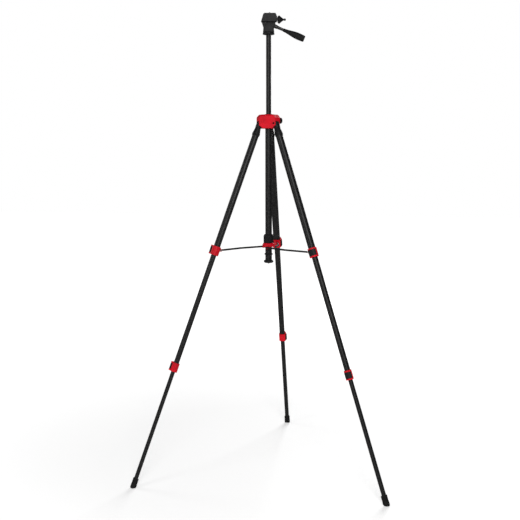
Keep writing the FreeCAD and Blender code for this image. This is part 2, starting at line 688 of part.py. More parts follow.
def hinge_screws(azimuths):
    """Socket-head screws on which the legs turn, one group."""
    members = []
    for azimuth in azimuths:
        frame = column_frame(azimuth)
        x, z = value("Dims.hinge_radius"), value("Dims.hinge_height")

        def along(start):
            return frame * Placement(Vector(x, start, z), Rotation(X_AXIS, -90))

        shank = cylinder(f"hinge_shank_{azimuth}", "Dims.hinge_screw_radius", 30.6, along(-14.6))
        head = cylinder(f"hinge_head_{azimuth}", "Dims.screw_head_radius", 2.6, along(-17.2))
        whole = doc.addObject("Part::MultiFuse", f"hinge_blank_{azimuth}")
        whole.Shapes = [shank, head]
        key = doc.addObject("Part::Prism", f"hinge_key_{azimuth}")
        key.Polygon = 6
        key.Circumradius = 1.9
        key.Height = 2
        key.Placement = along(-17.7)
        screw = doc.addObject("Part::Cut", f"hinge_screw_{azimuth}")
        screw.Base = whole
        screw.Tool = key
        members.append(screw)
    return group("hinge_screws", members)


def column_parts(frame):
    """The centre tube and what is on it, and the sliding column inside it."""
    centre = "Dims.centre_radius"
    base = "Dims.centre_base"
    round_tube("centre_tube", centre, base, "Dims.centre_top", frame)
    ring = 896
    turned("stop_ring", [(centre, ring - 3), (f"{centre} + 2", ring - 3), (f"{centre} + 4.3", ring),
                         (f"{centre} + 2", ring + 3), (centre, ring + 3)], frame)
    flange = f"{centre} + 6.5"
    turned("tube_end_cap", [("0", f"{base} - 11"), (f"{flange} - 4", f"{base} - 11"),
                            (flange, f"{base} - 6", "8"), (f"{flange} - 4", base),
                            (f"{centre} - 1.25", base), (f"{centre} - 1.25", f"{base} + 10"),
                            ("0", f"{base} + 10")], frame)
    turned("end_cap_screw", [("0", f"{base} - 15"), ("2", f"{base} - 15"), ("6", f"{base} - 11"),
                             ("0", f"{base} - 11")], frame)
    bush = f"{centre} + 1.3"
    top = "Dims.shoulder_top"
    inner = "Dims.column_radius + Dims.running_gap"
    turned("shoulder_bushing", [(inner, "Dims.centre_top"), (bush, "Dims.centre_top"), (bush, top),
                                (f"{bush} + 1.6", top), (f"{bush} + 1.6", f"{top} + 1.2"),
                                (f"{bush} + 0.4", f"{top} + 2.4"), (inner, f"{top} + 2.4")], frame)
    column = "Dims.column_radius"
    round_tube("column_tube", column, "Dims.column_base", "Dims.column_top", frame)
    guide = f"{centre} - Dims.tube_wall - 0.06"
    turned("column_guide", [(column, "Dims.column_base"), (guide, "Dims.column_base"),
                            (guide, "Dims.column_base + 30"), (column, "Dims.column_base + 30")], frame)


def column_lock(frame):
    """Clamp knob of the column with its screw. Its own +Z points outward from the shoulder."""
    place = frame * Placement(Vector(0, 0, value("Dims.lock_knob_height")), Rotation(Y_AXIS, -90))
    body = new_body("column_lock_knob")
    section = new_sketch(body, "XZ_Plane")
    face = "Dims.shoulder_face"
    outline(section, [("4", f"{face} + 0.6"), ("8.5", f"{face} + 0.6"),
                      ("12", f"{face} + 5"), ("12", f"{face} + 17"), ("9.5", f"{face} + 20"),
                      ("0", f"{face} + 20"), ("0", f"{face} + 4"), ("4", f"{face} + 4")])
    revolve(body, section)
    grip = new_sketch(body, offset=f"{face} + 5")
    circle(grip, "3", "13.8", "0")
    repeat_around(body, pocket(body, grip, 30, reverse=True), 9)
    keep(body, place)
    tip = "Dims.centre_radius + 1.6"
    screw_place = place * Placement(Vector(0, 0, value(tip)), Rotation())
    sub_parts.append(cylinder("column_lock_screw", "4", f"{face} + 4 - ({tip})", screw_place))


def hub_parts(frame):
    """Spreader hub that slides on the centre tube, and the collar that locks it there."""
    body = new_body("hub_ring")
    ring = new_sketch(body, offset="Dims.hub_base")
    circle(ring, "Dims.hub_radius")
    pad(body, ring, "Dims.hub_top - Dims.hub_base")
    soften(body, "Fillet", 2.5, at_height("Dims.hub_base"))
    soften(body, "Fillet", 2.0, at_height("Dims.hub_top"))
    lug = new_sketch(body, offset="Dims.hub_base - 6.5")
    outer = "-Dims.arm_side + Dims.arm_thickness / 2 + 0.3"
    x = "Dims.arm_hub_radius"
    rectangle(lug, f"{x} - 6", f"{x} + 6", outer, f"{outer} + 4")
    repeat_around(body, pad(body, lug, 14), 3)
    bore = new_sketch(body, offset="Dims.hub_base - 10")
    circle(bore, "Dims.centre_radius + Dims.running_gap")
    pocket(body, bore, 60, reverse=True)
    keep(body, frame)
    inner = "Dims.centre_radius + Dims.running_gap"
    radius, base, top = "Dims.collar_radius", "Dims.hub_top", "Dims.collar_top"
    turned("hub_collar", [(inner, f"{base} + 0.3"), (f"{radius} - 1.5", f"{base} + 0.3"),
                          (radius, f"{base} + 3"), (radius, f"{top} - 6"), (f"{radius} - 4", top),
                          (inner, top)], frame)


# ---------------------------------------------------------------- head

def pan_parts(frame):
    """Base fixed on the column, and the yoke that pans on it and carries the tilt axle."""
    column = "Dims.column_radius"
    top = "Dims.tilt_height - 15"
    turned("pan_base", [(column, f"{top} - 8"), ("22.3", f"{top} - 8"), ("23", f"{top} - 6.5"),
                        ("22", f"{top} - 0.3"), ("4", f"{top} - 0.3"), ("4", f"{top} - 3"),
                        (column, f"{top} - 3")], frame)
    body = new_body("pan_yoke")
    profile = new_sketch(body, "XZ_Plane")
    tilt, arch = "Dims.tilt_height", "Dims.cheek_radius"
    outline(profile, [("-21.7", top), ("21.7", top), (arch, f"{tilt} - 2"), (arch, tilt, arch),
                      (f"-{arch}", tilt), (f"-{arch}", f"{tilt} - 2")])
    pad(body, profile, "2 * Dims.cheek_outside", symmetric=True)
    throat = new_sketch(body, "XZ_Plane")
    rectangle(throat, "-30", "30", f"{tilt} - 12.5", f"{tilt} + 30")
    pocket(body, throat, "2 * Dims.cheek_inside", symmetric=True)
    face = value("Dims.cheek_outside")
    soften(body, "Fillet", 1.2,
           lambda edge: abs(abs(edge.BoundBox.YMin) - face) < 0.01 and abs(edge.BoundBox.YLength) < 0.01
           and edge.BoundBox.ZMax > value(tilt) - 4 and edge.BoundBox.DiagonalLength > 30)
    spigot = new_sketch(body, offset=f"{top} - 2.2")
    circle(spigot, "4 - Dims.running_gap")
    pad(body, spigot, 2.7)
    bore = new_sketch(body, "XZ_Plane")
    circle(bore, "4", "0", tilt)
    pocket(body, bore, 60, symmetric=True)
    # Raised panel with a round top on the front cheek, over the end of the axle.
    panel = new_sketch(body, "XZ_Plane", offset="Dims.cheek_outside - 0.2")
    outline(panel, [("-14", f"{top} + 1.5"), ("14", f"{top} + 1.5"), ("14", f"{tilt} + 1", "14"),
                    ("-14", f"{tilt} + 1")])
    pad(body, panel, 1.4)
    keep(body, frame)


def tilt_parts(frame):
    """Block between the yoke's cheeks, its axle, and the saddle on which the plate flips."""
    tilt, flip = "Dims.tilt_height", "Dims.flip_height"
    body = new_body("tilt_block_blank")
    wedge = new_sketch(body, "XZ_Plane")
    disc = "Dims.tilt_disc"
    outline(wedge, [(f"-{disc}", tilt, f"{disc}"), (disc, tilt), ("21", f"{tilt} + 6"),
                    ("26", f"{tilt} + 21.5"), ("-26", f"{tilt} + 21.5"), ("-21", f"{tilt} + 6")])
    pad(body, wedge, "2 * Dims.cheek_inside - 0.6", symmetric=True)
    # Boss for the handle, with its face square to the handle.
    boss = new_sketch(body, "XZ_Plane")
    root_x, root_z, drop = "Dims.handle_root_x", "Dims.handle_root_z", "Dims.handle_drop"
    outline(boss, [("9", f"{root_z} - 4.5 * sin({drop}) - 7.8 * cos({drop})"),
                   (f"{root_x} + 4.5 * cos({drop}) - 7.8 * sin({drop})",
                    f"{root_z} - 4.5 * sin({drop}) - 7.8 * cos({drop})"),
                   (f"{root_x} + 4.5 * cos({drop}) + 7.8 * sin({drop})",
                    f"{root_z} - 4.5 * sin({drop}) + 7.8 * cos({drop})"),
                   ("25", f"{tilt} + 19"), ("9", f"{tilt} + 19")])
    pad(body, boss, "2 * Dims.cheek_inside - 2.6", symmetric=True)
    lug = new_sketch(body, "YZ_Plane")
    radius = "8.5"
    outline(lug, [(f"-{radius}", f"{tilt} + 18"), (radius, f"{tilt} + 18"), (radius, flip, radius),
                  (f"-{radius}", flip)])
    pad(body, lug, 26, symmetric=True)
    axle_bore = new_sketch(body, "XZ_Plane")
    circle(axle_bore, "4 + Dims.running_gap", "0", tilt)
    pocket(body, axle_bore, 60, symmetric=True)
    bolt_bore = new_sketch(body, "YZ_Plane")
    circle(bolt_bore, "3 + Dims.running_gap", "0", flip)
    pocket(body, bolt_bore, 60, symmetric=True)
    drill = cylinder("handle_drill", "3.5 + Dims.running_gap", 30, handle_frame(Placement()))
    drill.Placement = drill.Placement * Placement(Vector(0, 0, -7), Rotation())
    block = doc.addObject("Part::Cut", "tilt_block")
    block.Base = body
    block.Tool = drill
    keep(block, frame)
    length = "2 * Dims.cheek_outside - 1.6"
    place = Placement(Vector(0, value(length) / 2, value(tilt)), Rotation(X_AXIS, 90))
    sub_parts.append(cylinder("tilt_axle", "4", length, frame * place))


def plate_parts(frame):
    """Instrument plate that flips about the bolt, its pad and its stud."""
    flip = "Dims.flip_height"
    top, base = "Dims.plate_top", "Dims.plate_base"
    half = "Dims.plate_half"
    body = new_body("instrument_plate")
    profile = new_sketch(body, "YZ_Plane")
    ear = "11"
    outline(profile, [(f"-{half}", top), (f"-{half}", f"{flip} - 8"), (f"-{half} + 3", f"{flip} - {ear}"),
                      ("0", f"{flip} - {ear}", ear), (ear, flip), (ear, f"{base} - 1"), (half, base),
                      (half, top)])
    pad(body, profile, 80, symmetric=True)
    for points in (
            [("-60", f"{top} + 1"), ("-60", f"{flip} - 12"), ("-27", f"{flip} - 12"),
             ("-29", f"{flip} - 8.5"), ("-20", f"{top} + 1")],
            [("60", f"{flip} - 12"), ("60", f"{top} + 1"), ("28", f"{top} + 1"),
             ("33.5", f"{flip} + 6"), ("33.5", f"{flip} - 4"), ("29", f"{flip} - 12")]):
        outside = new_sketch(body, "XZ_Plane")
        outline(outside, points)
        pocket(body, outside, 60, symmetric=True)
    # Room for the lug: round above the bolt, and open behind it, where the plate flips down.
    slot = new_sketch(body, "YZ_Plane")
    clear = "8.8"
    outline(slot, [("0", f"{flip} + {clear}", clear), (f"-{clear}", flip), (f"-{clear}", f"{flip} - 14"),
                   ("40", f"{flip} - 14"), ("40", f"{flip} + {clear}")])
    pocket(body, slot, 26.6, symmetric=True)
    bolt_bore = new_sketch(body, "YZ_Plane")
    circle(bolt_bore, "3 + Dims.running_gap", "0", flip)
    pocket(body, bolt_bore, 80, symmetric=True)
    stud_bore = new_sketch(body, offset=top)
    circle(stud_bore, "Dims.stud_radius", "4", "0")
    pocket(body, stud_bore, 8)
    keep(body, frame)
    pad_body = new_body("plate_pad")
    mat = new_sketch(pad_body, offset=top)
    rectangle(mat, "-17.5", "26.5", f"-{half} + 0.7", f"{half} - 0.7")
    circle(mat, "Dims.stud_radius + 0.3", "4", "0")
    pad(pad_body, mat, f"Dims.pad_top - {top}")
    keep(pad_body, frame)
    stud = frame * Placement(Vector(4, 0, 0), Rotation())
    radius = "Dims.stud_radius"
    turned("instrument_stud", [("0", f"{top} - 8"), (radius, f"{top} - 8"), (radius, top),
                               (f"{radius} - 0.2", top), (f"{radius} - 0.2", "Dims.pad_top"),
                               (radius, "Dims.pad_top"), (radius, "Dims.stud_top - 0.5"),
                               (f"{radius} - 0.5", "Dims.stud_top"), ("0", "Dims.stud_top")], stud)


def flip_knob(frame):
    """Flip bolt and its cone-shaped knob with a ball end. Its own +Z points along the head's +X."""
    place = frame * Placement(Vector(0, 0, value("Dims.flip_height")), Rotation(Y_AXIS, 90))
    bolt = frame * Placement(Vector(-27, 0, value("Dims.flip_height")), Rotation(Y_AXIS, 90))
    sub_parts.append(cylinder("flip_bolt", "3", 65, bolt))
    body = new_body("flip_knob")
    section = new_sketch(body, "XZ_Plane")
    ball, neck, flat = "4.6", "3.4", "1"
    ball_end = f"59 + {neck} + sqrt({ball}^2 - {flat}^2)"
    outline(section, [("3", "34"), ("10", "34"), ("15.5", "37.5"), ("15.5", "42.5"), ("10.5", "47.5"),
                      ("4", "56"), (f"sqrt({ball}^2 - {neck}^2)", "59", ball), (flat, ball_end),
                      ("0", ball_end), ("0", "38"), ("3", "38")])
    revolve(body, section)
    grip = new_sketch(body, offset="30")
    circle(grip, "4", "18", "0")
    repeat_around(body, pocket(body, grip, 40, reverse=True), 6)
    keep(body, place)


def handle_frame(frame):
    """At the handle's root, with +Z along the handle."""
    root = Vector(value("Dims.handle_root_x"), 0, value("Dims.handle_root_z"))
    return frame * Placement(root, Rotation(Y_AXIS, 90 + value("Dims.handle_drop")))


def handle_parts(place):
    """Handle that screws into the tilt block: a rod and a swelling grip."""
    turned("handle_rod", [("0", "-6"), ("3.5", "-6"), ("3.5", "4.8"), ("7.5", "4.8"), ("7.5", "13"),
                          ("6", "16"), ("5.2", "40"), ("5.2", "70"), ("0", "70")], place)
    turned("handle_grip", [("5.2", "40"), ("6.2", "40", "90"), ("10.4", "75", "90"),
                           ("11.5", "100", "90"), ("10.6", "125"), ("8.6", "128.5"), ("0", "128.5"),
                           ("0", "70"), ("5.2", "70")], place)


# ---------------------------------------------------------------- the whole tripod

def check_document():
    failed = [item.Label for item in doc.Objects if {"Invalid", "Error"} & set(item.State)]
    if failed:
        raise RuntimeError(f"these objects failed: {failed}")
    for part in sub_parts:
        if part.Shape.isNull() or not part.Shape.isValid():
            raise RuntimeError(f"{part.Label} has no valid shape")


def write_parts():
    os.makedirs("parts", exist_ok=True)
    for part in sub_parts:
        part.Shape.exportStep(f"parts/{part.Label}.step")


fill_sheet()
for leg, leg_azimuth in LEGS.items():
    build_leg(leg, leg_azimuth)
shoulder(column_frame(LEGS["left"]))
hinge_screws(LEGS.values())
column_parts(column_frame())
column_lock(column_frame(LEGS["left"]))
hub_parts(column_frame(LEGS["left"]))
pan_parts(head_frame())
tilt_parts(head_frame())
plate_parts(head_frame())
flip_knob(head_frame())
handle_parts(handle_frame(head_frame()))
doc.recompute()
check_document()
write_parts()
print(len(sub_parts), "sub-parts written")
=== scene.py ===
import json
import math

import bmesh
import bpy
from mathutils import Matrix, Vector


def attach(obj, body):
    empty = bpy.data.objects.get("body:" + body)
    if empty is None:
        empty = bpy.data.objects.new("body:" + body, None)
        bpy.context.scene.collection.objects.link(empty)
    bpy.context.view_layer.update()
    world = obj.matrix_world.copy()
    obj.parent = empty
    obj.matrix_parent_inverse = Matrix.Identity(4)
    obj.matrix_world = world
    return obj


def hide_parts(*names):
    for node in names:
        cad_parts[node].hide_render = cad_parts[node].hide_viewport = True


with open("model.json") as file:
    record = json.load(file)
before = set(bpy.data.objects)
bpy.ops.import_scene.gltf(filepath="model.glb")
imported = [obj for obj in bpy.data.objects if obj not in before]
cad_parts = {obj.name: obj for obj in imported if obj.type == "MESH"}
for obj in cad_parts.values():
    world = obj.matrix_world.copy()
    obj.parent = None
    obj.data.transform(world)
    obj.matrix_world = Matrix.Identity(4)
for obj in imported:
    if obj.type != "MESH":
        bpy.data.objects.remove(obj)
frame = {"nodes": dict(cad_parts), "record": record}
nodes = frame["nodes"]
body_of_node = {node: body for body, members in frame["record"]["behaviour"]["bodies"].items()
                for node in members}
slot_of_node = {part["node"]: part["material_slot"] for part in frame["record"]["subparts"]}
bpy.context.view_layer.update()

MM = 0.001
LEGS = {"left": 210, "right": 330, "rear": 90}
COLUMN_Y = -0.14175
LEG_TILT = 20.565
HINGE_RADIUS = 0.0385
HINGE_HEIGHT = 1.4125
HEAD_YAW = 9.3
HANDLE_X, HANDLE_HEIGHT, HANDLE_DROP = 0.020, 1.785, 23
FLIP_AXIS_HEIGHT = 1.808
COLUMN_LOCK_HEIGHT = 1.424


# ------------------------------------------------------------------ frames, as in the CAD model

def column_frame(turn=0.0):
    return Matrix.Translation((0, COLUMN_Y, 0)) @ Matrix.Rotation(math.radians(turn), 4, "Z")


def leg_frame(azimuth):
    """+X outward from the leg, +Y tangential, -Z down the leg; the origin is at its hinge."""
    return (column_frame(azimuth) @ Matrix.Translation((HINGE_RADIUS, 0, HINGE_HEIGHT))
            @ Matrix.Rotation(math.radians(-LEG_TILT), 4, "Y"))


HEAD = column_frame(HEAD_YAW)
HANDLE = (HEAD @ Matrix.Translation((HANDLE_X, 0, HANDLE_HEIGHT))
          @ Matrix.Rotation(math.radians(90 + HANDLE_DROP), 4, "Y"))


# ------------------------------------------------------------------ materials

class Material:
    """A Principled material with helpers for its procedural nodes. Scales are per metre."""

    def __init__(self, name, metallic=0.0, **constants):
        self.material = bpy.data.materials.new(name)
        self.material.use_nodes = True
        self.tree = self.material.node_tree
        self.shader = self.tree.nodes["Principled BSDF"]
        self.shader.inputs["Metallic"].default_value = metallic
        for socket, number in constants.items():
            self.shader.inputs[socket.replace("_", " ")].default_value = number
        self.where = self.tree.nodes.new("ShaderNodeTexCoord").outputs["Object"]

    def link(self, output, socket):
        self.tree.links.new(output, socket)

    def stretched(self, x, y, z):
        mapping = self.tree.nodes.new("ShaderNodeMapping")
        mapping.inputs["Scale"].default_value = (x, y, z)
        self.link(self.where, mapping.inputs["Vector"])
        return mapping.outputs["Vector"]

    def noise(self, scale, detail=3.0, roughness=0.5, where=None):
        node = self.tree.nodes.new("ShaderNodeTexNoise")
        node.inputs["Scale"].default_value = scale
        node.inputs["Detail"].default_value = detail
        node.inputs["Roughness"].default_value = roughness
        self.link(where or self.where, node.inputs["Vector"])
        return node.outputs["Fac"]

    def ramp(self, value, low, high, start, stop):
        """Maps value from low..high to start..stop, clamped."""
        node = self.tree.nodes.new("ShaderNodeMapRange")
        node.inputs["From Min"].default_value = low
        node.inputs["From Max"].default_value = high
        node.inputs["To Min"].default_value = start
        node.inputs["To Max"].default_value = stop
        self.link(value, node.inputs["Value"])
        return node.outputs["Result"]

    def math(self, operation, first, second):
        node = self.tree.nodes.new("ShaderNodeMath")
        node.operation = operation
        for socket, operand in zip(node.inputs, (first, second)):
            if isinstance(operand, float):
                socket.default_value = operand
            else:
                self.link(operand, socket)
        return node.outputs["Value"]

    def mix(self, factor, first, second):
        node = self.tree.nodes.new("ShaderNodeMix")
        node.data_type = "RGBA"
        self.link(factor, node.inputs["Factor"])
        for socket, colour in ((node.inputs[6], first), (node.inputs[7], second)):
            if isinstance(colour, tuple):
                socket.default_value = (*colour, 1)
            else:
                self.link(colour, socket)
        return node.outputs[2]

    def edges(self, low, high):
        """1 along convex edges, 0 elsewhere."""
        geometry = self.tree.nodes.new("ShaderNodeNewGeometry")
        return self.ramp(geometry.outputs["Pointiness"], low, high, 0.0, 1.0)

    def bump(self, height, distance, strength=1.0, below=None):
        node = self.tree.nodes.new("ShaderNodeBump")
        node.inputs["Strength"].default_value = strength
        node.inputs["Distance"].default_value = distance
        self.link(height, node.inputs["Height"])
        if below is not None:
            self.link(below, node.inputs["Normal"])
        return node.outputs["Normal"]

    def finish(self, colour, roughness, normal):
        self.link(colour, self.shader.inputs["Base Color"])
        self.link(roughness, self.shader.inputs["Roughness"])
        self.link(normal, self.shader.inputs["Normal"])
        return self.material


def worn(m, base, dusty, rough, grain_scale, grain_depth, wear, dust=0.10, scuff_scale=55.0):
    """A moulded or coated surface: tone drift, dusty patches, scuffs, lighter edges, a fine grain."""
    drift = m.noise(14.0, 2.0)
    patches = m.ramp(m.noise(scuff_scale, 5.0, 0.65), 0.48, 0.72, 0.0, 1.0)
    darker = tuple(c * 0.78 for c in base)
    lighter = tuple(min(1.0, c * 1.18) for c in base)
    colour = m.mix(m.ramp(drift, 0.35, 0.65, 0.0, 1.0), darker, lighter)
    colour = m.mix(m.math("MULTIPLY", patches, dust), colour, dusty)
    scratches = m.noise(900.0, 2.0, 0.5, m.stretched(1.0, 1.0, 0.035))
    scratches = m.ramp(scratches, 0.66, 0.74, 0.0, 1.0)
    rubbed = m.ramp(m.noise(180.0, 4.0), 0.42, 0.62, 0.0, 1.0)
    edge = m.math("MULTIPLY", m.edges(0.52, 0.60), rubbed)
    marks = m.math("MULTIPLY", m.math("MAXIMUM", edge, m.math("MULTIPLY", scratches, 0.5)), wear)
    colour = m.mix(marks, colour, dusty)
    spread = m.ramp(m.noise(scuff_scale * 1.7, 4.0), 0.3, 0.7, rough - 0.03, rough + 0.04)
    roughness = m.math("ADD", spread, m.math("MULTIPLY", patches, 0.05))
    fine = m.bump(m.noise(grain_scale, 2.0, 0.6), grain_depth)
    slow = m.bump(m.noise(70.0, 2.0), grain_depth * 2.0, 0.5, fine)
    return m.finish(colour, roughness, slow)


def coated_tube(name):
    """Satin black powder coat on a drawn aluminium tube, with a fine texture and little dust."""
    m = Material(name, Specular_IOR_Level=0.20, Coat_Weight=0.03, Coat_Roughness=0.3)
    return worn(m, (0.0055, 0.0055, 0.0060), (0.050, 0.049, 0.047), 0.36, 1600.0, 0.00002, 0.35,
                dust=0.03, scuff_scale=24.0)


def black_plastic(name):
    m = Material(name, Specular_IOR_Level=0.15)
    return worn(m, (0.0085, 0.0085, 0.0092), (0.060, 0.058, 0.056), 0.46, 2400.0, 0.00004, 0.40)


def red_plastic(name):
    m = Material(name, Specular_IOR_Level=0.16)
    return worn(m, (0.70, 0.0045, 0.018), (0.68, 0.050, 0.056), 0.38, 2200.0, 0.00002, 0.35)


def rubber(name):
    m = Material(name, Specular_IOR_Level=0.18)
    return worn(m, (0.0085, 0.0085, 0.0085), (0.060, 0.058, 0.054), 0.70, 1500.0, 0.00007, 0.55)


def dark_steel(name):
    m = Material(name, metallic=0.85)
    return worn(m, (0.028, 0.0275, 0.027), (0.14, 0.135, 0.13), 0.42, 1400.0, 0.00002, 0.55)


def bright_steel(name):
    """Zinc-plated steel, with fine turning marks round each fastener."""
    m = Material(name, metallic=1.0)
    tone = m.ramp(m.noise(300.0, 4.0), 0.3, 0.7, 0.0, 1.0)
    colour = m.mix(tone, (0.50, 0.50, 0.49), (0.68, 0.68, 0.66))
    roughness = m.ramp(m.noise(700.0, 3.0), 0.3, 0.7, 0.24, 0.42)
    marks = m.bump(m.noise(2500.0, 2.0, 0.5, m.stretched(1.0, 1.0, 0.2)), 0.00002)
    return m.finish(colour, roughness, marks)


FINISHES = {
    "black_tube": coated_tube("black_tube_coat"),
    "black_plastic": black_plastic("black_moulding"),
    "red_plastic": red_plastic("red_moulding"),
    "rubber": rubber("black_rubber"),
    "steel": bright_steel("zinc_steel"),
    "black_steel": dark_steel("black_oxide_steel"),
}


def paint(piece, slot):
    piece.data.materials.clear()
    piece.data.materials.append(FINISHES[slot])


# ------------------------------------------------------------------ mesh helpers

SAME_POINT = 1e-6
SLIVER = 5e-6
FLAT_ANGLE = math.radians(0.6)
ROUNDED_ANGLE = math.radians(28)


def new_piece(name, mesh, body, slot, smooth_angle=35.0):
    """A finished piece: shaded smooth below the angle, painted, and riding on its body."""
    piece = bpy.data.objects.new(name, mesh)
    bpy.context.scene.collection.objects.link(piece)
    mesh.set_sharp_from_angle(angle=math.radians(smooth_angle))
    for face in mesh.polygons:
        face.use_smooth = True
    paint(piece, slot)
    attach(piece, body)
    return piece


def face_outward(mesh):
    shape = bmesh.new()
    shape.from_mesh(mesh)
    bmesh.ops.recalc_face_normals(shape, faces=shape.faces)
    shape.to_mesh(mesh)
    shape.free()


def softened(node, width):
    """Stands for a CAD node: the same shape, with its moulded edges rounded. The weld takes out the
    slivers that rounding leaves, and the weighted normals keep flat faces flat."""
    mesh = nodes[node].data.copy()
    shape = bmesh.new()
    shape.from_mesh(mesh)
    bmesh.ops.remove_doubles(shape, verts=shape.verts, dist=SAME_POINT)
    bmesh.ops.dissolve_limit(shape, angle_limit=FLAT_ANGLE, verts=shape.verts, edges=shape.edges)
    shape.to_mesh(mesh)
    shape.free()
    piece = new_piece(f"{node}_body", mesh, body_of_node[node], slot_of_node[node])
    bevel = piece.modifiers.new("edges", "BEVEL")
    bevel.width = width
    bevel.segments = 3
    bevel.limit_method = "ANGLE"
    bevel.angle_limit = ROUNDED_ANGLE
    bevel.miter_outer = "MITER_ARC"
    weld = piece.modifiers.new("weld", "WELD")
    weld.merge_threshold = SLIVER
    flats = piece.modifiers.new("flats", "WEIGHTED_NORMAL")
    flats.keep_sharp = True
    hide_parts(node)
    return piece


def from_rings(name, rings, body, slot, smooth_angle=35.0, bored=False):
    """A skin over rings of equally many points: closed at its ends, or joined from the last ring
    back to the first if it's bored."""
    count = len(rings[0])
    vertices = [tuple(point) for ring in rings for point in ring]
    faces = []
    last = len(rings) - 1
    for ring in range(last + 1 if bored else last):
        start, stop = ring * count, 0 if ring == last else (ring + 1) * count
        for k in range(count):
            after = (k + 1) % count
            faces.append((start + k, start + after, stop + after, stop + k))
    if not bored:
        faces.append(tuple(range(count))[::-1])
        faces.append(tuple(range(len(vertices) - count, len(vertices))))
    mesh = bpy.data.meshes.new(name)
    mesh.from_pydata(vertices, [], faces)
    face_outward(mesh)
    return new_piece(name, mesh, body, slot, smooth_angle)


def lathe(name, profile, place, body, slot, segments=96, shape=None, bored=False):
    """Turns (radius, height) pairs, in mm, about the place's Z axis. shape(radius, height, angle)
    may change a radius."""
    rings = []
    for radius, height in profile:
        ring = []
        for k in range(segments):
            angle = 2 * math.pi * k / segments
            size = shape(radius, height, angle) if shape else radius
            point = Vector((size * math.cos(angle), size * math.sin(angle), height)) * MM
            ring.append(place @ point)
        rings.append(ring)
    return from_rings(name, rings, body, slot, bored=bored)


# ------------------------------------------------------------------ every CAD node gets its finish

for node, slot_name in slot_of_node.items():
    paint(nodes[node], slot_name)


# ------------------------------------------------------------------ mouldings with rounded edges

# node: width of its rounded edges, in mm
ROUNDED = {
    "shoulder": 1.3, "hub_ring": 0.5, "pan_base": 0.6, "pan_yoke": 0.7, "tilt_block": 0.6,
    "instrument_plate": 0.8, "shoulder_bushing": 0.3, "stop_ring": 0.5, "tube_end_cap": 0.5,
    "handle_rod": 0.3, "hinge_screws": 0.15, "end_cap_screw": 0.2,
}
for leg in LEGS:
    ROUNDED.update({
        f"leg_cap_{leg}": 0.7, f"upper_collar_{leg}": 0.5, f"lower_collar_{leg}": 0.3,
        f"upper_lever_{leg}": 0.6, f"lower_lever_{leg}": 0.6, f"spreader_arm_{leg}": 0.35,
    })
for node, width in ROUNDED.items():
    softened(node, width * MM)


# ------------------------------------------------------------------ feet

BOOT_TOP = 1469.0
BOOT_WIDTH, BOOT_DEPTH, BOOT_CORNER = 25, 21, 4


def boot_outline(inset):
    """The boot's D-shaped section, counter-clockwise, in mm: a half circle on the outer side and a
    flat with rounded corners on the inner side."""
    radius, half = BOOT_WIDTH / 2 - inset, BOOT_DEPTH / 2 - inset
    corner = max(BOOT_CORNER - inset, 0.3)
    centre = BOOT_DEPTH / 2 - BOOT_WIDTH / 2
    points = []

    def arc(x, y, size, start, stop, steps):
        for k in range(steps + 1):
            angle = math.radians(start + (stop - start) * k / steps)
            points.append((x + size * math.cos(angle), y + size * math.sin(angle)))

    arc(centre, 0, radius, -90, 90, 40)
    arc(corner - half, radius - corner, corner, 90, 180, 8)
    arc(corner - half, corner - radius, corner, 180, 270, 8)
    return points


def make_foot(leg, azimuth):
    """Rubber boot with rings round it, a lip at its top and a sole cut level with the floor."""
    place = leg_frame(azimuth)
    tilt = math.radians(LEG_TILT)
    # (inset, distance below the top of the boot)
    profile = [(3.2, 0.0), (1.6, 0.0), (0.6, 0.5), (0.0, 1.6), (0.0, 3.6), (0.5, 4.4)]
    for rib in range(5):
        start = 5.0 + rib * 3.6
        profile += [(1.3, start), (1.3, start + 1.0), (0.5, start + 1.5), (0.3, start + 2.0),
                    (0.3, start + 2.7), (0.7, start + 3.2)]
    profile += [(0.4, 23.6), (0.0, 24.6), (0.0, 26.0)]
    rings = []
    for inset, below in profile:
        depth = BOOT_TOP + below
        rings.append([place @ (Vector((x, y, -depth)) * MM) for x, y in boot_outline(inset)])
    # (inset, height above the floor)
    sole = ((0.0, 6.0), (0.4, 3.9), (1.3, 2.1), (2.7, 0.8), (4.6, 0.1), (6.0, 0.0))
    for inset, height in sole:
        ring = []
        for x, y in boot_outline(inset):
            along = (HINGE_HEIGHT / MM + x * math.sin(tilt) - height) / math.cos(tilt)
            ring.append(place @ (Vector((x, y, -along)) * MM))
        rings.append(ring)
    boot = from_rings(f"foot_boot_{leg}", rings, f"lower_{leg}", "rubber", 50.0)
    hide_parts(f"foot_{leg}")


# ------------------------------------------------------------------ thumb ribs on the lock levers

# lock: (middle below the leg's hinge, width and depth of the tube), in mm
LOCKS = {"upper": (527.0, 28.0, 22.5), "lower": (1009.0, 23.2, 18.0)}
LEVER_LIFT = 5.5
RIB_HALF_LENGTH = 9.0
RIB_RADIUS = 0.75
RIB_STEPS = 8


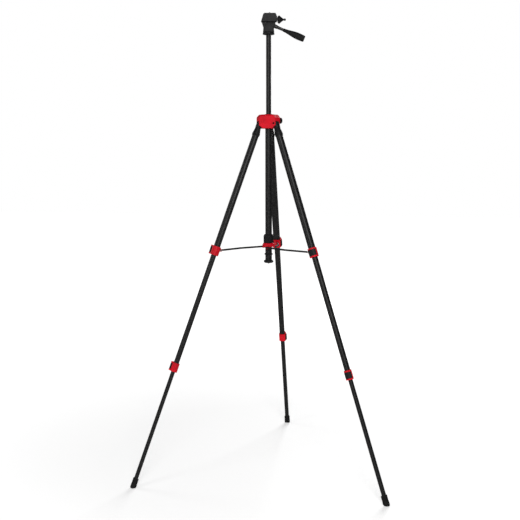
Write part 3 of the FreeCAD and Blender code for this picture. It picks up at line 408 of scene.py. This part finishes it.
def make_thumb_ribs(leg, azimuth, lock):
    """Four raised ribs along the sloping free end of a lever."""
    middle, width, depth = LOCKS[lock]
    side = -(width / 2 + 3)
    tip = Vector((3.2 - (depth + 7.2) / 2, side - 1.3, 0))
    slope = Vector((-3, side - LEVER_LIFT, 0)) - tip
    across = slope.normalized()
    out = Vector((across.y, -across.x, 0))
    half = RIB_HALF_LENGTH
    place = leg_frame(azimuth)
    shape = bmesh.new()
    for fraction in (0.16, 0.38, 0.60, 0.82):
        rings = []
        for along, size in ((-half, 0.15), (-half + 0.5, 0.85), (half - 0.5, 0.85), (half, 0.15)):
            radius = RIB_RADIUS * size
            ring = []
            for k in range(RIB_STEPS):
                bend = math.radians(180 * k / (RIB_STEPS - 1))
                offset = across * (radius * math.cos(bend)) + out * (radius * math.sin(bend) - 0.1)
                point = tip + slope * fraction + offset + Vector((0, 0, along - middle))
                ring.append(shape.verts.new(place @ (point * MM)))
            rings.append(ring)
        for first, second in zip(rings, rings[1:]):
            for k in range(RIB_STEPS):
                after = (k + 1) % RIB_STEPS
                shape.faces.new((first[k], first[after], second[after], second[k]))
        shape.faces.new(rings[0])
        shape.faces.new(rings[-1])
    bmesh.ops.recalc_face_normals(shape, faces=shape.faces)
    mesh = bpy.data.meshes.new("ribs")
    shape.to_mesh(mesh)
    shape.free()
    new_piece(f"{lock}_lever_ribs_{leg}", mesh, f"{lock}_lever_{leg}", "black_plastic", 40.0)


for leg, azimuth in LEGS.items():
    make_foot(leg, azimuth)
    for lock in LOCKS:
        make_thumb_ribs(leg, azimuth, lock)


# ------------------------------------------------------------------ turned pieces

def rounded_profile(corners, size):
    """Corners of a (radius, height) outline, each but the ends replaced by a small curve."""
    steps = 4
    points = [corners[0]]
    for before, here, after in zip(corners, corners[1:], corners[2:]):
        here = Vector(here)
        to_before, to_after = Vector(before) - here, Vector(after) - here
        reach = min(size, to_before.length * 0.45, to_after.length * 0.45)
        start = here + to_before.normalized() * reach
        stop = here + to_after.normalized() * reach
        for k in range(steps + 1):
            t = k / steps
            point = start * (1 - t) ** 2 + here * 2 * t * (1 - t) + stop * t ** 2
            points.append(tuple(point))
    points.append(corners[-1])
    return points


def dense(profile, longest):
    """The same outline with its long straight runs divided."""
    points = [profile[0]]
    for (radius, height), (next_radius, next_height) in zip(profile, profile[1:]):
        wider, higher = next_radius - radius, next_height - height
        parts = max(1, math.ceil(math.hypot(wider, higher) / longest))
        for k in range(1, parts + 1):
            t = k / parts
            points.append((radius + wider * t, height + higher * t))
    return points


def lobes(count, depth, low, high, blend, power):
    """A radius with count scallops of this depth between two heights, fading in over blend."""
    def change(radius, height, angle):
        inside = min(height - low, high - height)
        amount = max(0.0, min(1.0, inside / blend))
        wave = abs(math.sin(count * angle / 2)) ** (1 / power)
        return radius - depth * amount * (1 - wave)
    return change


def make_flip_knob():
    """Cone-shaped knob with scallops round its skirt and a ball at its end."""
    place = (HEAD @ Matrix.Translation((0, 0, FLIP_AXIS_HEIGHT))
             @ Matrix.Rotation(math.radians(90), 4, "Y"))
    ball, ball_height = 4.55, 62.4
    skirt = rounded_profile([(3.1, 34), (10, 34), (15.4, 37.5), (15.4, 42.5), (10.4, 47.5),
                             (4, 56), (3.3, 58.8)], 1.6)
    end = []
    for k in range(1, 22):
        angle = math.radians(-46 + 133 * k / 21)
        end.append((ball * math.cos(angle), ball_height + ball * math.sin(angle)))
    profile = dense(skirt + end, 0.8)
    knob = lathe("flip_knob_body", profile, place, "flip_lock", "black_plastic", 144,
                 lobes(6, 1.5, 35.0, 48.0, 3.0, 2.0))
    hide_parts("flip_knob")


def make_column_lock_knob():
    """Round knob with nine scallops, a dished face and a small button in its middle."""
    place = (column_frame(LEGS["left"]) @ Matrix.Translation((0, 0, COLUMN_LOCK_HEIGHT))
             @ Matrix.Rotation(math.radians(-90), 4, "Y"))
    corners = [(4.0, 35.6), (8.5, 35.6), (11.9, 40), (11.9, 51.5), (9.6, 54.9), (8.0, 54.9),
               (7.2, 54.0), (4.6, 54.0), (4.0, 54.7), (0.3, 54.9)]
    profile = dense(rounded_profile(corners, 1.0), 0.8)
    knob = lathe("column_lock_knob_body", profile, place, "column_lock", "black_plastic", 180,
                 lobes(9, 1.1, 37.5, 53.6, 2.0, 2.5))
    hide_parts("column_lock_knob")


def make_hub_collar():
    """Collar with fine grip ribs round its middle."""
    corners = [(13.3, 941.3), (19.0, 941.3), (20.4, 944), (20.4, 969.8), (16.6, 975.8),
               (13.3, 975.8)]
    profile = dense(rounded_profile(corners, 1.0), 1.2)
    collar = lathe("hub_collar_body", profile, column_frame(), "hub_lock", "black_plastic", 240,
                   lobes(30, 0.55, 945.5, 966.5, 1.2, 1.5), bored=True)
    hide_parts("hub_collar")


def make_grip():
    """Swelling rubber grip: a narrow neck with three rings, a long belly and a rounded end."""
    outline = []
    low, high, steps = 40.0, 125.0, 90
    widest = 0.74
    for k in range(steps):
        height = low + k * (high - low) / (steps - 1)
        t = (height - low) / (high - low)
        swell = 6.5 + 6.6 * (1 - math.cos(math.pi * min(1.0, t / widest))) / 2
        swell -= 0.9 * max(0.0, (t - widest) / (1 - widest)) ** 1.6
        for ring in (45.0, 48.5, 52.0):
            swell -= 0.55 * math.exp(-((height - ring) / 0.55) ** 2)
        outline.append((swell, height))
    edge = outline[-1][0]
    outline = [(5.3, low + 0.2), (outline[0][0] - 0.5, low)] + outline[1:]
    outline += [(edge - 0.35, 126.4), (edge - 1.1, 127.6), (edge - 2.2, 128.3),
                (edge - 3.6, 128.5), (3.4, 128.5), (2.8, 128.1), (0.3, 128.1)]
    grip = lathe("handle_grip_body", dense(outline, 0.9), HANDLE, "handle", "rubber", 120)
    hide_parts("handle_grip")


def make_stud():
    """The instrument stud with its 1/4-20 thread cut."""
    pitch, depth, major = 1.27, 0.69, 3.175
    foot, base, top = 1820.0, 1828.0, 1835.3
    step = 0.07
    place = HEAD @ Matrix.Translation((0.004, 0, 0))

    def thread(radius, height, angle):
        if radius < major - 0.01:
            return radius
        phase = (height / pitch - angle / (2 * math.pi)) % 1.0
        cut = depth * max(0.0, 1.0 - abs(phase - 0.5) * 2 / 0.88)
        return radius - cut * max(0.0, min(1.0, (top - 0.5 - height) / 0.6))

    profile = [(0.2, foot), (major, foot)]
    profile += [(major, base + step * k) for k in range(int((top - 0.5 - base) / step) + 1)]
    profile += [(major - 0.35, top - 0.15), (major - 0.7, top), (0.2, top)]
    stud = lathe("instrument_stud_thread", profile, place, "plate", "steel", 72, thread)
    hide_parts("instrument_stud")


def make_pad():
    """Rubber pad with a rim and fine ribs across it."""
    left, right, half = -17.5, 26.5, 15.8
    base, top = 1828.0, 1830.7
    columns, rows = 264, 32
    rim, stud_x, stud_clear = 1.6, 4, 5.5
    rib_pitch, rib_depth = 1.36, 0.55

    def height(x, y):
        edge = min(x - left, right - x, y + half, half - y)
        if edge < rim or math.hypot(x - stud_x, y) < stud_clear:
            return top
        phase = ((x - left - rim) / rib_pitch) % 1.0
        return top - rib_depth * max(0.0, min(1.0, 1.7 * abs(2 * phase - 1) - 0.35))

    ys = [-half, -half + 0.3, -half + 1.5, -half + 1.7]
    ys += [-half + 1.7 + (2 * half - 3.4) * k / rows for k in range(1, rows)]
    ys += [half - 1.7, half - 1.5, half - 0.3, half]
    mesh = bpy.data.meshes.new("pad")
    vertices, faces = [], []
    for y in ys:
        for column in range(columns + 1):
            x = left + (right - left) * column / columns
            vertices.append(HEAD @ (Vector((x, y, height(x, y))) * MM))
    stride = columns + 1
    for row in range(len(ys) - 1):
        for column in range(columns):
            a = row * stride + column
            faces.append((a, a + 1, a + 1 + stride, a + stride))
    border = [(0, column) for column in range(stride)]
    border += [(row, columns) for row in range(1, len(ys))]
    border += [(len(ys) - 1, column) for column in range(columns - 1, -1, -1)]
    border += [(row, 0) for row in range(len(ys) - 2, 0, -1)]
    first = len(vertices)
    for row, column in border:
        x = left + (right - left) * column / columns
        vertices.append(HEAD @ (Vector((x, ys[row], base)) * MM))
    count = len(border)
    for k in range(count):
        row, column = border[k]
        next_row, next_column = border[(k + 1) % count]
        faces.append((row * stride + column, first + k, first + (k + 1) % count,
                      next_row * stride + next_column))
    faces.append(tuple(range(first, first + count))[::-1])
    mesh.from_pydata([tuple(v) for v in vertices], [], faces)
    face_outward(mesh)
    pad = new_piece("plate_pad_ribbed", mesh, "plate", "rubber", 30.0)
    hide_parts("plate_pad")


make_flip_knob()
make_column_lock_knob()
make_hub_collar()
make_grip()
make_stud()
make_pad()


# ------------------------------------------------------------------ floor, light and camera

FLOOR_HALF = 14.0
IMAGE_SIZE = 520
SENSOR = 36.0


def seen_by_camera(tree):
    """1 for what the camera sees directly, 0 for light that reaches the object."""
    return tree.nodes.new("ShaderNodeLightPath").outputs["Is Camera Ray"]


def floor_with_painted_glow(name, colour, roughness):
    """Pale floor with a painted glow: white emission seen only by the camera, weak near the object
    and full away from it, so the floor fades into the white backdrop.
    """
    m = Material(name)
    # painted glow: the floor emits white light for the camera alone, 0.42 within 0.7 m of the centre
    # rising to 1.0 at 4.5 m
    distance = m.tree.nodes.new("ShaderNodeVectorMath")
    distance.operation = "LENGTH"
    m.link(m.where, distance.inputs[0])
    glow = m.ramp(distance.outputs["Value"], 0.7, 4.5, 0.42, 1.0)
    m.shader.inputs["Emission Color"].default_value = (1, 1, 1, 1)
    m.link(m.math("MULTIPLY", seen_by_camera(m.tree), glow), m.shader.inputs["Emission Strength"])
    tone = m.ramp(m.noise(1.5, 2.0), 0.3, 0.7, 0.0, 1.0)
    shade = m.mix(tone, tuple(c * 0.985 for c in colour), colour)
    return m.finish(shade, m.ramp(m.noise(30.0), 0.3, 0.7, roughness - 0.03, roughness + 0.03),
                    m.bump(m.noise(400.0), 0.0001, 0.2))


def make_floor():
    mesh = bpy.data.meshes.new("floor")
    half = FLOOR_HALF
    corners = [(-half, -half, 0), (half, -half, 0), (half, half, 0), (-half, half, 0)]
    mesh.from_pydata(corners, [], [(0, 1, 2, 3)])
    floor = bpy.data.objects.new("floor", mesh)
    bpy.context.scene.collection.objects.link(floor)
    # pale base colour, brightened by the painted glow of its camera-only emission
    mesh.materials.append(floor_with_painted_glow("pale_floor_painted_glow", (0.88, 0.88, 0.88), 0.6))


def area_light(name, place, target, size, power):
    light = bpy.data.lights.new(name, "AREA")
    light.shape = "RECTANGLE"
    light.size, light.size_y = size
    light.energy = power
    lamp = bpy.data.objects.new(name, light)
    lamp.location = place
    lamp.rotation_euler = (Vector(target) - Vector(place)).to_track_quat("-Z", "Y").to_euler()
    bpy.context.scene.collection.objects.link(lamp)


def make_light():
    """A white backdrop that hardly lights the object, and large soft lamps round it."""
    world = bpy.data.worlds.new("studio")
    world.use_nodes = True
    tree = world.node_tree
    background = tree.nodes["Background"]
    background.inputs["Color"].default_value = (1.0, 1.0, 1.0, 1)
    strength = tree.nodes.new("ShaderNodeMapRange")
    strength.inputs["To Min"].default_value = 0.07
    strength.inputs["To Max"].default_value = 1.0
    tree.links.new(seen_by_camera(tree), strength.inputs["Value"])
    tree.links.new(strength.outputs["Result"], background.inputs["Strength"])
    bpy.context.scene.world = world
    bpy.context.scene.view_settings.view_transform = "Standard"
    centre = (0, COLUMN_Y, 0.95)
    area_light("key", (1.0, -4.2, 2.8), centre, (1.6, 3.0), 125)
    area_light("fill", (-2.6, -3.2, 1.9), centre, (1.0, 2.4), 26)
    area_light("back", (0.9, 4.0, 2.8), centre, (2.2, 2.2), 105)
    area_light("side", (-3.8, 0.8, 2.2), centre, (1.2, 2.0), 22)


def make_camera():
    """At the height, distance and downward pitch from which the whole tripod is seen."""
    turn = math.radians(9.33)
    distance, height = 3.102, 1.2776
    pitch = math.radians(7.459)
    camera = bpy.data.cameras.new("camera")
    camera.sensor_width = SENSOR
    camera.lens = SENSOR * 778.4 / IMAGE_SIZE
    camera.shift_x = -8.62 / IMAGE_SIZE
    camera.clip_start = 0.05
    camera.clip_end = 60
    eye = bpy.data.objects.new("camera", camera)
    eye.location = (distance * math.sin(turn), COLUMN_Y - distance * math.cos(turn), height)
    eye.rotation_euler = (math.pi / 2 - pitch, 0, turn)
    bpy.context.scene.collection.objects.link(eye)
    bpy.context.scene.camera = eye


make_floor()
make_light()
make_camera()
